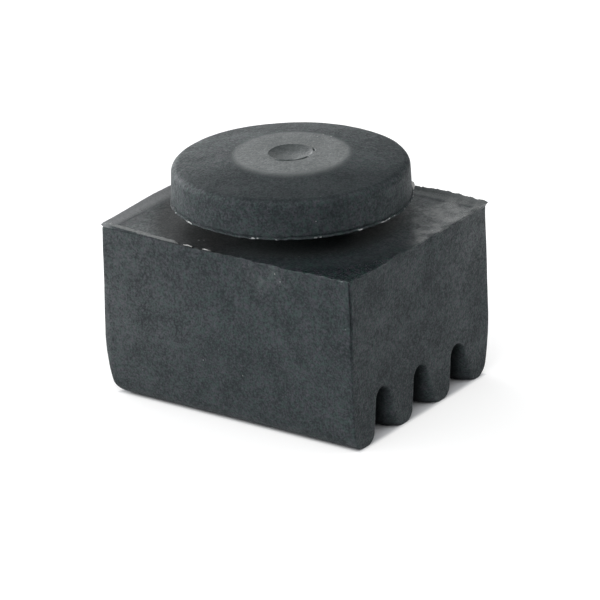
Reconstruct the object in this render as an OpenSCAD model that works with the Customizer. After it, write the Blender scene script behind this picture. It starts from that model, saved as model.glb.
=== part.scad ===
// Rubber cap: a moulded block foot with ribbed soles, a short neck and a round head.
// One piece of rubber. Millimetres, +Z up, origin under the middle of the block,
// at the level of the ribs' soles. X runs along the ribs, Y across them.

/* [Block] */
// Length of the block, along the ribs, at its fullest
block_l = 26.1; // [22:0.1:40]
// Width of the block, across the ribs, at its fullest
block_w = 21.1; // [21:0.1:30]
// Height from the soles to the block's top
block_h = 15.6; // [9:0.1:24]
// How far each side leans in between the fullest level and the top
side_lean = 0.13; // [0:0.01:0.4]
// Height of the fullest level, where the sides start to curve in towards the soles
belly_h = 5.6; // [5:0.1:7]
// Radius of the front side's curve below the fullest level
front_belly_r = 40; // [20:0.5:60]
// Radius of the back side's curve below the fullest level
back_belly_r = 18; // [14:0.5:60]
// Radius of the heel end's curve below the fullest level
heel_belly_r = 24; // [14:0.5:60]
// Radius of the rounded edges of the soles
sole_r = 1.3; // [0.6:0.05:1.35]
// Radius of the rounded bottom edge at the heel end
heel_r = 1.75; // [0.6:0.05:3]

/* [Grooves] */
// Number of grooves under the block
groove_count = 3; // [1:1:3]
// Distance from groove to groove
groove_pitch = 5.85; // [5.75:0.05:6.2]
// Height of the middle groove's top above the soles
groove_h = 4.5; // [3.7:0.05:5]
// How much lower each groove's top is than that of the groove in front of it
groove_fall = 0.12; // [0:0.01:0.2]
// Radius of the grooves' rounded tops
groove_top_r = 0.95; // [0.6:0.05:1]
// Angle of the grooves' walls from upright
wall_angle = 7; // [0:0.5:8]
// How far the middle groove lies in front of the middle
groove_shift = 0.25; // [0:0.05:0.5]
// Angle from upright at which each groove's back wall is worn off at the toe end
wear_angle = 21; // [15:0.5:24]
// How far the wear reaches in along the soles from the toe end
wear_l = 1.3; // [0.6:0.05:2]

/* [Neck] */
// Diameter of the neck
neck_d = 10; // [6:0.1:12]
// Clear height between the block and the head
neck_gap = 1.9; // [1.2:0.05:6]
// Radius of the fillets at both ends of the neck
neck_fillet_r = 0.5; // [0.2:0.05:0.55]

/* [Head] */
// Diameter of the head at its lower edge
head_d = 21; // [18:0.1:26]
// How far the neck and the head stand off the block's middle, towards the heel end
head_back = 0.1; // [0:0.05:0.3]
// Height of the head's side
head_side_h = 3.25; // [2:0.05:6]
// How far the head's side tapers in up to the rim
head_taper = 0.2; // [0:0.05:1]
// Radius of the rim between the side and the domed top
rim_r = 0.8; // [0.1:0.05:1]
// Rise of the domed top from the rim to the flat land
dome_rise = 0.75; // [0.5:0.05:2]
// Diameter of the flat land in the middle of the top
land_d = 10.4; // [6:0.1:14]
// Diameter of the gate dimple
dimple_d = 4; // [2:0.1:5.5]
// Depth of the gate dimple
dimple_depth = 0.45; // [0.3:0.05:1.5]

/* [Flash] */
// Height of the moulding flash that stands on the block's heel and back edges
flash_h = 0.5; // [0.2:0.05:1]
// Height of the flash on the block's front edge
front_flash_h = 0.35; // [0.1:0.05:1]
// Thickness of the flash
flash_t = 0.22; // [0.15:0.01:0.5]
// Length of the flash along the front edge, from the heel end
flash_front_l = 8; // [2:0.5:20]
// How far the flash stands back from the block's edge
flash_inset = 0.03; // [0.01:0.01:0.1]
// How far the flash round the head's lower edge stands out
head_flash_w = 0.08; // [0.03:0.01:0.2]
// Thickness of the flash round the head's lower edge
head_flash_t = 0.15; // [0.1:0.01:0.3]

/* [Hidden] */
$fn = 72;
half_l = block_l / 2;
half_w = block_w / 2;
top_half_l = half_l - side_lean;
top_half_w = half_w - side_lean;
overrun = 2;
sink = 0.3;
// The share by which a facet's cutter runs past both of the facet's ends.
overshoot = 0.2;
// A rounding is swollen by this factor, so that it crosses its sides and never just grazes them.
swell = 1 / cos(3);
neck_r = neck_d / 2;
neck_top = block_h + neck_gap;
head_r = head_d / 2;
rim_z = neck_top + head_side_h;
rim_corner_r = head_r - head_taper;
land_r = land_d / 2;
land_z = rim_z + dome_rise;
// The dome is an arc about the axis, through the rim's corner and the land's edge.
dome_z = (land_z * land_z + land_r * land_r - rim_z * rim_z - rim_corner_r * rim_corner_r)
    / (2 * (land_z - rim_z));
dome_r = norm([rim_corner_r, rim_z - dome_z]);
dimple_r = (pow(dimple_d / 2, 2) + pow(dimple_depth, 2)) / (2 * dimple_depth);

// Centre of a foot's rounding that touches both the ground line and the belly arc.
function foot_centre(half, belly_r, foot_r) = [
    half - belly_r + sqrt(pow(belly_r - foot_r, 2) - pow(belly_h - foot_r, 2)),
    foot_r
];

// Point where that rounding meets the belly arc.
function foot_meets_belly(half, belly_r, foot_r) =
    let (belly = [half - belly_r, belly_h])
    belly + (foot_centre(half, belly_r, foot_r) - belly) * belly_r / (belly_r - foot_r);

// Place of a groove across the block.
function groove_y(i) = (i - (groove_count - 1) / 2) * groove_pitch - groove_shift;

// Height of the middle of a groove's rounded top.
function groove_centre_z(i) = groove_h - groove_top_r - (i - (groove_count - 1) / 2) * groove_fall;

// Direction up a wall on a groove's back side that leans at an angle from upright.
function up_wall(angle) = [-sin(angle), cos(angle)];

// Where such a wall leaves the groove's rounded top.
function wall_top(i, angle) =
    [groove_y(i), groove_centre_z(i)] + groove_top_r * [cos(angle), sin(angle)];

// Where such a wall would meet the ground line.
function wall_foot(i, angle) =
    wall_top(i, angle) - up_wall(angle) * wall_top(i, angle).y / cos(angle);

// Centre of the rim's rounding, which touches the dome arc and the head's tapered side.
function rim_centre() =
    let (up = [-head_taper, head_side_h] / norm([head_taper, head_side_h]))
    let (from = [head_r, neck_top] + rim_r * [-up.y, up.x] - [0, dome_z])
    let (along = -from * up + sqrt(pow(from * up, 2) - from * from + pow(dome_r - rim_r, 2)))
    from + along * up + [0, dome_z];

// The lower right of an outline, from the belly down to a rounded foot.
module lower_side(half, belly_r, foot_r) {
    foot = foot_centre(half, belly_r, foot_r);
    meet = foot_meets_belly(half, belly_r, foot_r);
    difference() {
        intersection() {
            square([half + overrun, belly_h]);
            translate([half - belly_r, belly_h]) circle(r = belly_r);
        }
        difference() {
            polygon([foot, [foot.x, 0], [half + overrun, -overrun], meet]);
            translate(foot) circle(r = foot_r * swell);
        }
    }
}

// The upper part of an outline, whose sides lean in towards the top.
module upper_sides(half, top_half) {
    polygon([[-half, belly_h], [half, belly_h], [top_half, block_h], [-top_half, block_h]]);
}

// The block's outline seen along the ribs, before the grooves.
module across_outline() {
    upper_sides(half_w, top_half_w);
    lower_side(half_w, back_belly_r, sole_r);
    mirror([1, 0]) lower_side(half_w, front_belly_r, sole_r);
}

// The block's outline seen across the ribs: a rounded heel and an upright toe end.
module along_outline() {
    upper_sides(half_l, top_half_l);
    mirror([1, 0]) lower_side(half_l, heel_belly_r, heel_r);
    square([half_l, belly_h]);
}

// What is cut away to round a corner from which two straight sides run off.
module corner_cut(corner, side_a, side_b, radius) {
    half_angle = acos(side_a * side_b) / 2;
    middle = (side_a + side_b) / norm(side_a + side_b);
    centre = corner + middle * radius / sin(half_angle);
    reach = radius / tan(half_angle);
    difference() {
        polygon([corner + side_a * reach, corner - middle, corner + side_b * reach, centre]);
        translate(centre) circle(r = radius * swell);
    }
}

// The back half of a groove's cutter, with the rounding of the sole edge beside it.
module half_groove(i) {
    up = up_wall(wall_angle);
    foot = wall_foot(i, wall_angle);
    top = wall_top(i, wall_angle);
    polygon([
        [groove_y(i), top.y], [groove_y(i), -overrun],
        foot - up * overrun, top
    ]);
    corner_cut(foot, up, [1, 0], sole_r);
}

// One groove's cutter.
module groove(i) {
    half_groove(i);
    translate([2 * groove_y(i), 0]) mirror([1, 0]) half_groove(i);
    translate([groove_y(i), groove_centre_z(i)]) circle(r = groove_top_r * swell);
}

// The block's section across the ribs.
module across_section() {
    difference() {
        across_outline();
        for (i = [0 : groove_count - 1]) groove(i);
    }
}

// What is worn off a groove's back wall at the toe end: a slanting facet that is widest at the sole.
module wear(i) {
    foot = wall_foot(i, wear_angle);
    facet = [wear_l, (foot.x - wall_foot(i, wall_angle).x) * cos(wear_angle)];
    past = facet * overshoot;
    far = -facet - past;
    translate([half_l, foot.x, 0])
        rotate([wear_angle, 0, 0])
        translate([0, 0, -overrun])
        linear_extrude(norm(wall_top(i, wear_angle) - foot) + overrun)
        polygon([past, far, [past.x, far.y]]);
}

// The block: its section run along the ribs, rounded off under the heel end.
module block() {
    difference() {
        intersection() {
            rotate([90, 0, 90])
                linear_extrude(block_l + 2 * overrun, center = true) across_section();
            rotate([90, 0, 0])
                linear_extrude(block_w + 2 * overrun, center = true) along_outline();
        }
        for (i = [0 : groove_count - 1]) wear(i);
    }
}

// A fin of flash along a side of the block's top, from the low corner of its base.
module fin(corner, length, width, height) {
    translate([corner.x, corner.y, block_h - sink]) cube([length, width, height + sink]);
}

// The moulding flash: a thin fin on the heel edge, the back edge and part of the front one.
module flash() {
    edge_l = top_half_l - flash_inset;
    edge_w = top_half_w - flash_inset;
    fin([-edge_l, -edge_w], flash_t, 2 * edge_w, flash_h);
    fin([-edge_l, -edge_w], flash_front_l, flash_t, front_flash_h);
    fin([-edge_l, edge_w - flash_t], 2 * edge_l, flash_t, flash_h);
}

// Half section of the fillet between the neck and a flat that it stands on.
module neck_fillet() {
    difference() {
        translate([0, -sink]) square([neck_r + neck_fillet_r, neck_fillet_r + sink]);
        translate([neck_r + neck_fillet_r, neck_fillet_r]) circle(r = neck_fillet_r * swell);
    }
}

// The neck, filleted into the block's top and into the head's underside.
module neck() {
    rotate_extrude() {
        translate([0, block_h - sink]) square([neck_r, neck_gap + 2 * sink]);
        translate([0, block_h]) neck_fillet();
        translate([0, neck_top]) mirror([0, 1]) neck_fillet();
    }
}

// Half section of the head: a lip of flash, a tapered side, a rounded rim and a low dome.
module head_section() {
    rim = rim_centre();
    dome_centre = [0, dome_z];
    dome_meet = dome_centre + (rim - dome_centre) * dome_r / (dome_r - rim_r);
    side_meet = rim + rim_r * [head_side_h, head_taper] / norm([head_side_h, head_taper]);
    polygon([[0, neck_top], [head_r, neck_top], side_meet, dome_meet, [0, dome_meet.y]]);
    translate([0, neck_top]) square([head_r + head_flash_w, head_flash_t]);
    translate(rim) circle(r = rim_r * swell);
    intersection() {
        translate(dome_centre) circle(r = dome_r, $fn = 360);
        translate([0, neck_top]) square([dome_meet.x, land_z - neck_top]);
    }
}

// The head, with the gate dimple sunk in the land.
module head() {
    difference() {
        rotate_extrude() head_section();
        translate([0, 0, land_z - dimple_depth + dimple_r]) sphere(r = dimple_r);
    }
}

module rubber_cap() {
    color([0.22, 0.23, 0.235]) {
        block();
        flash();
        translate([-head_back, 0]) {
            neck();
            head();
        }
    }
}

rubber_cap();
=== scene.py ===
import math

import bmesh
import bpy
from mathutils import Matrix, Vector, noise
from mathutils.geometry import delaunay_2d_cdt

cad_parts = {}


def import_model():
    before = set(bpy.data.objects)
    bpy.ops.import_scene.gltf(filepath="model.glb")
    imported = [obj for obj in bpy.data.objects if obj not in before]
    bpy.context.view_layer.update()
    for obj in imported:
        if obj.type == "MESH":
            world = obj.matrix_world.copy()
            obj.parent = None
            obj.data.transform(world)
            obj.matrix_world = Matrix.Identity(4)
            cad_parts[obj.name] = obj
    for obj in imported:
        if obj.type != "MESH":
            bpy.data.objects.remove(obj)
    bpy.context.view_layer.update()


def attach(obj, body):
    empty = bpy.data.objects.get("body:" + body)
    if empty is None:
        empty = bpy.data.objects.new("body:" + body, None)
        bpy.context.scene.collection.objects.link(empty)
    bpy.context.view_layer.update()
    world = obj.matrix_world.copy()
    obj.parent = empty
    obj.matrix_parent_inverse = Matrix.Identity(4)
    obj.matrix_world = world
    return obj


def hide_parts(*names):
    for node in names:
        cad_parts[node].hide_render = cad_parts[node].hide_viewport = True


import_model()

MM = 0.001

# Without a seed of its own, noise_vector starts from the clock.
NOISE_SEED = 1
noise.seed_set(NOISE_SEED)

# Sizes in millimetres. X runs along the ribs, Y across them, Z up from the soles.
HALF_L = 13.05
HALF_W = 10.55
BLOCK_H = 15.6
SIDE_LEAN = 0.13
BELLY_H = 5.6
BACK_BELLY_R = 18.0
FRONT_BELLY_R = 40.0
HEEL_BELLY_R = 24.0
BACK_SOLE_R = 1.4
FRONT_SOLE_R = 1.3
HEEL_R = 1.75
EDGE_R = 0.12
END_R = 0.1

# The moulding bulges a little at the back, more towards the top, and at the heel. Each bulge
# starts at a distance from the middle and has grown up over the length that follows.
BACK_SWELL = 0.17
BACK_RISE = 0.10
BACK_SWELL_FROM = 8.5
HEEL_SWELL = 0.07
HEEL_SWELL_FROM = 11
SWELL_GROWS = 1.5

# A fine seam sinks in along the upright edge between the front face and the toe end. It starts
# at a height and deepens over the length that follows.
SEAM_DEEP = 0.11
SEAM_FROM = 7
SEAM_GROWS = 6
SEAM_SIDE = 0.4

GROOVE_COUNT = 3
GROOVE_PITCH = 5.85
GROOVE_SHIFT = -0.25
GROOVE_H = 4.5
GROOVE_FALL = 0.12
GROOVE_TOP_R = 0.95
GROOVE_LEAN = 7.0
RIB_SOLE_R = 1.1

# At the toe end the ribs' near corners are worn back: how wide and how long at the sole, the
# share of that length at a groove's top, and how far along the rib it is whole, and then fades.
FLARE_WIDE = 1.0
FLARE_LONG = 1.7
FLARE_TOP_SHARE = 0.25
FLARE_WHOLE = 1.2
FLARE_FADE = 2.6

NECK_R = 5.0
NECK_GAP = 1.9
NECK_FILLET_R = 0.5
HEAD_AT = (-0.10, -0.03)
HEAD_R = 10.46
HEAD_SIDE_H = 3.25
HEAD_TAPER = 0.12
HEAD_TILT = (0.006, -0.006)
TILT_GROWS = 1.5
RIM_R = 0.8
DOME_RISE = 0.75
LAND_R = 5.2

# The dimple is an uneven oval, seen in directions across (ACROSS) and towards (NEAR) its torn
# near edge, where a thin ridge stands over a crack.
ACROSS = (0.814, 0.581)
NEAR = (0.581, -0.814)
DIMPLE_AT = (-0.14, 0.17)
DIMPLE_R = 1.95
DIMPLE_NEAR_R = 2.12
DIMPLE_SKEW = 0.05
DIMPLE_DEPTH = 0.38
DIMPLE_LOW = 0.65
DIMPLE_SIDE_POWER = 2.5
DIMPLE_EDGE = 0.06
NEAR_WALL = 0.55
RIDGE_H = 0.07
RIDGE_AT = 0.985
RIDGE_WIDE = 0.025
CRACK_DEEP = 0.3
CRACK_AT = 1.06
CRACK_WIDE = 0.035

# Turns round the dimple in degrees from its near side: where it is torn, how softly that
# starts and stops, and the pit at one side with its share of the crack's depth.
TORN_START = -36
TORN_END = 52
TORN_SOFT = 12
PIT_AT = 104
PIT_WIDE = 7
PIT_SHARE = 0.7

# Round the dimple, out to a share of its radius, the mesh follows its oval. Beyond, over a
# further share, it turns back into circles.
OVAL_TO = 1.3
OVAL_FADE = 0.9

# The moulding flash: a lip round the head's lower edge, with a crease above it, and fins
# on the block's top edges.
LIP_W = 0.08
LIP_T = 0.15
CREASE_DEEP = 0.07
CREASE_H = 0.12
CREASE_GAP = 0.02
FIN_INSET = 0.03
FIN_FOOT = 0.2
FIN_TIP = 0.07
FIN_LEAN = 0.2
FIN_SINK = 0.25
FIN_POINT = 0.4
FIN_LEAST = 0.06
HEEL_RAMP = 0.9
BACK_RAMP = 0.7
FRONT_RAMP = 0.05
HEEL_TEAR = 0.03
BACK_TEAR = 0.14
FRONT_TEAR = 0.3

# The lip's flake: its turn about the head in degrees, how far round it reaches, how many times
# the lip's width it stands out, and how far it curls up.
FLAKE_AT = 43.0
FLAKE_REACH = 8.0
FLAKE_WIDE = 3.0
FLAKE_CURL = 0.12

# The lip's tear: waves per millimetre of its coarse and fine part, the fine part's share, how
# strongly it changes the lip's width, and what it takes off. Then the lip's rise and fall.
TEAR_COARSE = 0.9
TEAR_FINE = 3.1
TEAR_FINE_SHARE = 0.8
TEAR_STRONG = 1.2
TEAR_OFF = 0.1
LIP_WAVE = (1.3, 0.05)
LIP_RIPPLE = (4, 0.03)

# How the skin wanders: waves per millimetre, and reach in millimetres. The last two fray the
# block's top edges, down to a depth and in from each edge by a distance.
SLOW_WANDER = (0.22, 0.045)
QUICK_WANDER = (1.1, 0.012)
EDGE_WAVE = (1.4, 0.13)
EDGE_TEAR = (3.7, 0.08)
FRAY_DEEP = 0.35
FRAY_IN = 0.7

NECK_TOP = BLOCK_H + NECK_GAP
RIM_Z = NECK_TOP + HEAD_SIDE_H
LAND_Z = RIM_Z + DOME_RISE

# Mesh spacing in millimetres.
STEP = 0.33
FINE_STEP = 0.14
FIN_STEP = 0.1
LIP_STEP = 0.06
CREASE_STEP = 0.04
SIDE_STEP = 0.2
RIM_STEP = 0.06
DOME_STEP = 0.2
LAND_STEP = 0.25
TORN_STEP = 0.03
BOWL_STEP = 0.08

# Numbers of points round the head, of rows close to the toe end, and of steps round the small
# rounding at an end, which goes in by a share of its radius.
AROUND = 372
TOE_ROWS = 12
END_STEPS = 4
END_SHARE = 0.98


# Curves in a plane.

def line(a, b, step=STEP):
    """Points from a to b, both included."""
    count = max(1, math.ceil(math.dist(a, b) / step))
    steps = range(count + 1)
    return [(a[0] + (b[0] - a[0]) * i / count, a[1] + (b[1] - a[1]) * i / count) for i in steps]


def arc(centre, radius, start, end, step=FINE_STEP):
    """Points round an arc from one angle in degrees to another, both included."""
    turn = math.radians(end - start)
    count = max(3, math.ceil(abs(turn) * radius / step))
    angles = [math.radians(start) + turn * i / count for i in range(count + 1)]
    return [(centre[0] + radius * math.cos(t), centre[1] + radius * math.sin(t)) for t in angles]


def joined(*stretches):
    """One run of points from several, with doubled points left out."""
    run = []
    for stretch in stretches:
        for point in stretch:
            if not run or math.dist(run[-1], point) > 1e-4:
                run.append(point)
    return run


def smooth(value):
    """A soft step from 0 to 1."""
    value = min(max(value, 0.0), 1.0)
    return value * value * (3 - 2 * value)


# The block's outlines.

def side_curve(half, belly_r, sole_r):
    """The right-hand side of an outline, from the middle of its rounded top edge down to its sole."""
    top = half - SIDE_LEAN
    centre_x = half - belly_r + math.sqrt((belly_r - sole_r) ** 2 - (BELLY_H - sole_r) ** 2)
    meet = math.degrees(math.asin((BELLY_H - sole_r) / (belly_r - sole_r)))
    return joined(
        arc((top - EDGE_R, BLOCK_H - EDGE_R), EDGE_R, 90, 0, EDGE_R / 4),
        line((top, BLOCK_H - EDGE_R), (half, BELLY_H)),
        arc((half - belly_r, BELLY_H), belly_r, 0, -meet, STEP),
        arc((centre_x, sole_r), sole_r, -meet, -90),
    )


def groove_curve(middle, height):
    """One groove, from the sole on its left to the sole on its right."""
    lean = math.radians(GROOVE_LEAN)
    top_z = height - GROOVE_TOP_R
    wall_top = (GROOVE_TOP_R * math.cos(lean), top_z + GROOVE_TOP_R * math.sin(lean))
    foot = wall_top[0] + wall_top[1] * math.tan(lean)
    reach = RIB_SOLE_R * math.tan(math.pi / 4 - lean / 2)
    round_x = foot + reach
    tangent = (round_x - RIB_SOLE_R * math.cos(lean), RIB_SOLE_R - RIB_SOLE_R * math.sin(lean))
    right = joined(
        arc((0, top_z), GROOVE_TOP_R, 90, GROOVE_LEAN),
        line(wall_top, tangent),
        arc((round_x, RIB_SOLE_R), RIB_SOLE_R, 180 + GROOVE_LEAN, 270),
    )
    left = [(-y, z) for y, z in reversed(right)]
    return [(middle + y, z) for y, z in joined(left, right)]


def grooves():
    """Each groove's place across the block and the height of its top."""
    steps = [i - (GROOVE_COUNT - 1) / 2 for i in range(GROOVE_COUNT)]
    return [(i * GROOVE_PITCH + GROOVE_SHIFT, GROOVE_H - i * GROOVE_FALL) for i in steps]


def across_outline():
    """The block's outline across the ribs, from the top edge at -Y round the soles to the top
    edge at +Y."""
    front = [(-y, z) for y, z in side_curve(HALF_W, FRONT_BELLY_R, FRONT_SOLE_R)]
    back = list(reversed(side_curve(HALF_W, BACK_BELLY_R, BACK_SOLE_R)))
    run = front
    for middle, height in grooves():
        groove = groove_curve(middle, height)
        run = joined(run, line(run[-1], groove[0]), groove)
    return joined(run, line(run[-1], back[0]), back)


HEEL_CURVE = list(reversed(side_curve(HALF_L, HEEL_BELLY_R, HEEL_R)))


def heel_reach(z):
    """How far the block reaches towards the heel at a height."""
    belly_x = HALF_L - HEEL_BELLY_R
    centre_x = belly_x + math.sqrt((HEEL_BELLY_R - HEEL_R) ** 2 - (BELLY_H - HEEL_R) ** 2)
    meet_z = BELLY_H - HEEL_BELLY_R * (BELLY_H - HEEL_R) / (HEEL_BELLY_R - HEEL_R)
    if z < meet_z:
        return centre_x + math.sqrt(max(HEEL_R ** 2 - (HEEL_R - z) ** 2, 0))
    if z < BELLY_H:
        return belly_x + math.sqrt(HEEL_BELLY_R ** 2 - (BELLY_H - z) ** 2)
    return HALF_L - SIDE_LEAN * (z - BELLY_H) / (BLOCK_H - BELLY_H)


def toe_reach(z):
    """How far the block reaches towards the toe end at a height."""
    return HALF_L - SIDE_LEAN * max(z - BELLY_H, 0) / (BLOCK_H - BELLY_H)


def flared(point, from_toe):
    """Opens the grooves at the toe end: the ribs' near corners are worn back, most at the sole."""
    y, z = point
    for middle, height in grooves():
        across = y - middle
        if z < height and 0 < across < GROOVE_PITCH - GROOVE_TOP_R:
            drop = 1 - z / height
            long = FLARE_LONG * (FLARE_TOP_SHARE + (1 - FLARE_TOP_SHARE) * drop)
            near = smooth(across / GROOVE_TOP_R) if z > height - GROOVE_TOP_R else 1.0
            fade = 1 - smooth((across - FLARE_WHOLE) / FLARE_FADE)
            return (y + FLARE_WIDE * drop * near * fade * max(1 - from_toe / long, 0) ** 2, z)
    return point


def inset(loop, distance):
    """A closed loop moved into the solid on its left side."""
    moved = []
    for i, point in enumerate(loop):
        a, b = loop[i - 1], loop[(i + 1) % len(loop)]
        run = Vector((b[0] - a[0], b[1] - a[1])).normalized()
        moved.append((point[0] - run.y * distance, point[1] + run.x * distance))
    return moved


# Meshes.

class Shell:
    """Vertices and faces that are gathered for one mesh."""

    def __init__(self):
        self.points = []
        self.faces = []

    def add(self, points):
        """Adds vertices and gives their numbers."""
        first = len(self.points)
        self.points.extend(points)
        return list(range(first, len(self.points)))

    def strip(self, one, two, closed=False):
        """Quads between two rows of vertices."""
        last = len(one) if closed else len(one) - 1
        for i in range(last):
            j = (i + 1) % len(one)
            self.faces.append((one[i], one[j], two[j], two[i]))

    def patch(self, rings, flat, lift, grid):
        """Fills the first ring, round the other rings, with triangles. flat and lift turn points
        to 2D and back."""
        edge = [index for ring in rings for index in ring]
        outline = [[flat(self.points[i]) for i in ring] for ring in rings]
        spots = [spot for ring in outline for spot in ring]
        links = []
        first = 0
        for ring in rings:
            links += [(first + i, first + (i + 1) % len(ring)) for i in range(len(ring))]
            first += len(ring)
        inner = [spot for spot in grid if inside(spot, outline) and clear(spot, spots, STEP / 2)]
        result = delaunay_2d_cdt([Vector(s) for s in spots + inner], links, [], 0, 1e-7)
        indices = edge + self.add([lift(spot) for spot in inner])
        at = [indices[origin[0]] for origin in result[3]]
        for face in result[2]:
            middle = [sum(result[0][i][k] for i in face) / 3 for k in (0, 1)]
            if inside(middle, outline):
                self.faces.append(tuple(at[i] for i in face))

    def build(self, name, material):
        """Makes a smooth-shaded object of what was gathered."""
        mesh = bpy.data.meshes.new(name)
        mesh.from_pydata([Vector(p) * MM for p in self.points], [], self.faces)
        work = bmesh.new()
        work.from_mesh(mesh)
        bmesh.ops.recalc_face_normals(work, faces=work.faces)
        work.to_mesh(mesh)
        work.free()
        mesh.polygons.foreach_set("use_smooth", [True] * len(mesh.polygons))
        mesh.materials.append(material)
        piece = bpy.data.objects.new(name, mesh)
        bpy.context.scene.collection.objects.link(piece)
        return piece


def inside(spot, rings):
    """Whether a 2D point lies within the first ring and outside the others."""
    x, y = spot
    odd = False
    for ring in rings:
        for i, b in enumerate(ring):
            a = ring[i - 1]
            if (a[1] > y) != (b[1] > y) and x < a[0] + (b[0] - a[0]) * (y - a[1]) / (b[1] - a[1]):
                odd = not odd
    return odd


def clear(spot, spots, distance):
    """Whether a 2D point keeps a distance from all the others."""
    return all(abs(s[0] - spot[0]) > distance or abs(s[1] - spot[1]) > distance for s in spots)


def square_grid(low_x, high_x, low_y, high_y, step=STEP * 1.3):
    """Evenly spread points within a rectangle."""
    across = math.floor((high_x - low_x) / step)
    up = math.floor((high_y - low_y) / step)
    return [(low_x + i * step, low_y + j * step) for i in range(1, across) for j in range(1, up)]


def end_rows():
    """Steps round the small rounding at an end: how far in, and how far back from the end."""
    turns = [math.radians(90 * i / END_STEPS) for i in range(END_STEPS + 1)]
    return [(END_R * (1 - math.cos(t)) * END_SHARE, END_R * (1 - math.sin(t))) for t in turns]


def curve_lengths(curve):
    """The distance run along a curve at each of its points."""
    lengths = [0.0]
    for a, b in zip(curve, curve[1:]):
        lengths.append(lengths[-1] + math.dist(a, b))
    return lengths


def look_up(value, keys, results):
    """Linear reading of a rising table."""
    if value <= keys[0]:
        return results[0] + value - keys[0]
    for i in range(1, len(keys)):
        if value <= keys[i]:
            part = (value - keys[i - 1]) / (keys[i] - keys[i - 1])
            return results[i - 1] + part * (results[i] - results[i - 1])
    return results[-1] + value - keys[-1]


def block_rows(shell):
    """The block's skin along the ribs. Gives the two rings round its ends and the one round its
    open top."""
    outline = across_outline()
    edge_y = outline[-1][0]
    lid = line((edge_y, BLOCK_H), (outline[0][0], BLOCK_H))[1:-1]
    loop = outline + lid
    count = round(2 * HALF_L / STEP)
    places = [-1 + 2 * i / count for i in range(1, count)]
    near_toe = [1 - (END_R + FINE_STEP * i) / HALF_L for i in range(1, TOE_ROWS + 1)]
    even = [p for p in places if -1 + 2 * END_R / HALF_L < p < near_toe[-1] - 0.01]
    places = sorted(even + near_toe)
    heel_rings = []
    for deep, back in reversed(end_rows()):
        ring = inset(loop, deep)
        heel_rings.append(shell.add([(-(heel_reach(z) - back), y, z) for y, z in ring]))
    rows = []
    for place in places:
        points = []
        for y, z in outline:
            reach = heel_reach(z) if place < 0 else toe_reach(z)
            y, z = flared((y, z), (1 - place) * HALF_L) if place > 0 else (y, z)
            points.append((place * reach, y, z))
        rows.append(shell.add(points))
    toe_rings = []
    for deep, back in end_rows():
        ring = inset([flared(point, back) for point in loop], deep)
        middle = math.sin(math.pi * deep / END_R) if 0 < deep < END_R * 0.9 else 0
        points = []
        for y, z in ring:
            seam = SEAM_DEEP * middle * smooth((z - SEAM_FROM) / SEAM_GROWS)
            seam *= 1 if y < -HALF_W + SEAM_SIDE else 0
            points.append((toe_reach(z) - back - seam, y + seam, z))
        toe_rings.append(shell.add(points))
    count = len(outline)
    for one, two in zip(heel_rings, heel_rings[1:]):
        shell.strip(one, two, closed=True)
    for one, two in zip(toe_rings, toe_rings[1:]):
        shell.strip(one, two, closed=True)
    open_rows = [heel_rings[-1][:count]] + rows + [toe_rings[0][:count]]
    for one, two in zip(open_rows, open_rows[1:]):
        shell.strip(one, two)
    lid_ring = (
        [row[0] for row in open_rows]
        + list(reversed(toe_rings[0][count:]))
        + [row[-1] for row in reversed(open_rows)]
        + heel_rings[-1][count:]
    )
    return heel_rings[0], toe_rings[-1], lid_ring


def block_ends(shell, heel_ring, toe_ring):
    """The two end faces. The heel's is unrolled along its curve, and so stays even round the bottom."""
    lengths = curve_lengths(HEEL_CURVE)
    heights = [z for _, z in HEEL_CURVE]
    span = lengths[-1]
    shell.patch(
        [toe_ring],
        lambda p: (p[1], p[2]),
        lambda s: (toe_reach(s[1]), s[0], s[1]),
        square_grid(-HALF_W, HALF_W, 0, BLOCK_H),
    )
    shell.patch(
        [heel_ring],
        lambda p: (p[1], look_up(p[2], heights, lengths)),
        lambda s: (-heel_reach(look_up(s[1], lengths, heights)), s[0], look_up(s[1], lengths, heights)),
        square_grid(-HALF_W, HALF_W, 0, span),
    )


def circle_row(radius, z):
    """Points of a level circle about the head's axis."""
    turns = [2 * math.pi * i / AROUND for i in range(AROUND)]
    return [(HEAD_AT[0] + radius * math.cos(t), HEAD_AT[1] + radius * math.sin(t), z) for t in turns]


def side_x(z):
    """The radius of the head's tapered side at a height."""
    return HEAD_R - HEAD_TAPER * (z - NECK_TOP) / HEAD_SIDE_H


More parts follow.
